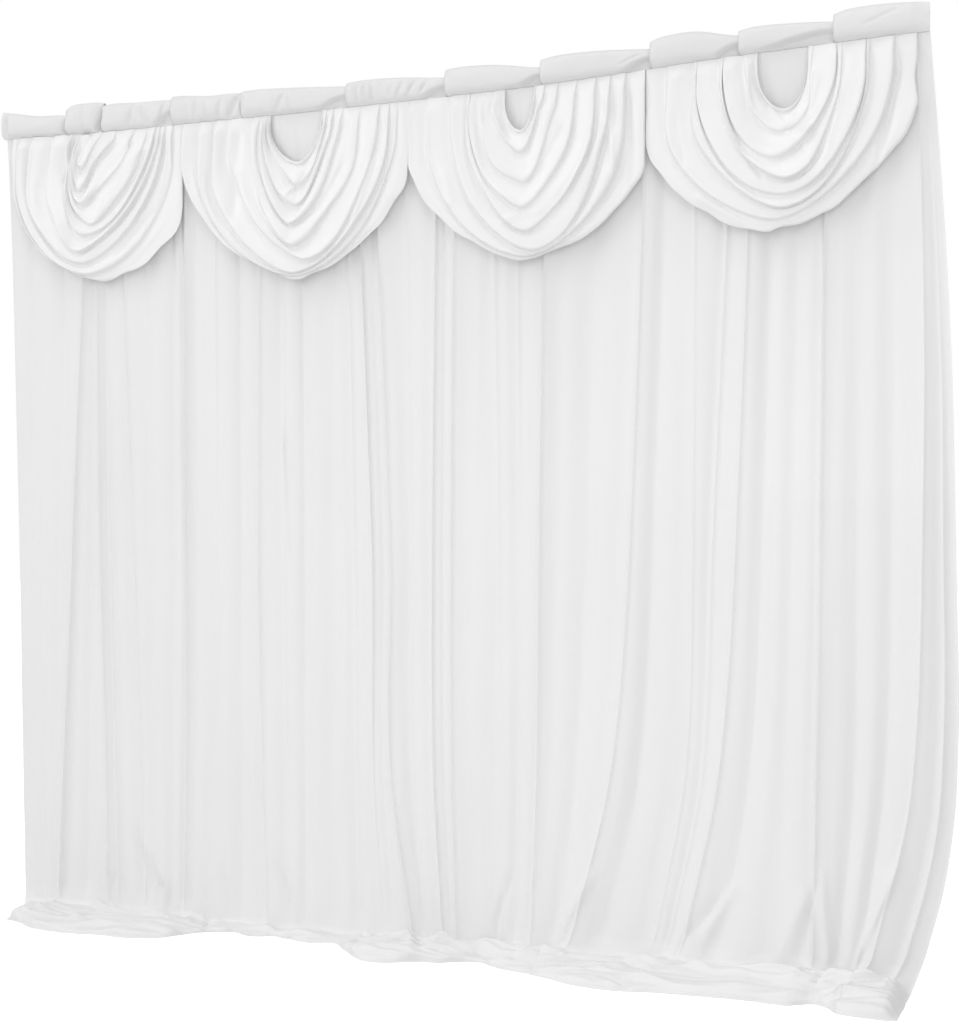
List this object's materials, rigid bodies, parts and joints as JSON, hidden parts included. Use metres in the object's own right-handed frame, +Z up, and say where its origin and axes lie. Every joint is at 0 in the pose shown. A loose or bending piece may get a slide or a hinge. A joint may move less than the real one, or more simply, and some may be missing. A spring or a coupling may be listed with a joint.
{
  "type": "backdrop curtain",
  "caption": "White cloth backdrop for events: a wide folded panel pooled on the floor, a rod sleeve along its top and draped swags in front.",
  "frame": {"origin": "inside the rod sleeve, on the rod's line, at the middle of the backdrop's width", "axes": "+Z up, +X to the right seen from the front, along the rod; the front with the swags faces -Y"},
  "size_m": [3.0699, 0.2718, 2.718],
  "materials": {
    "knit": "smooth white knit with a faint sheen",
    "satin": "white satin with a soft gloss"
  },
  "bodies": {
    "root": {"backdrop_panel": "knit", "heading_sleeve": "knit", "swag_1": "satin", "swag_2": "satin", "swag_3": "satin", "swag_4": "satin"}
  },
  "joints": []
}
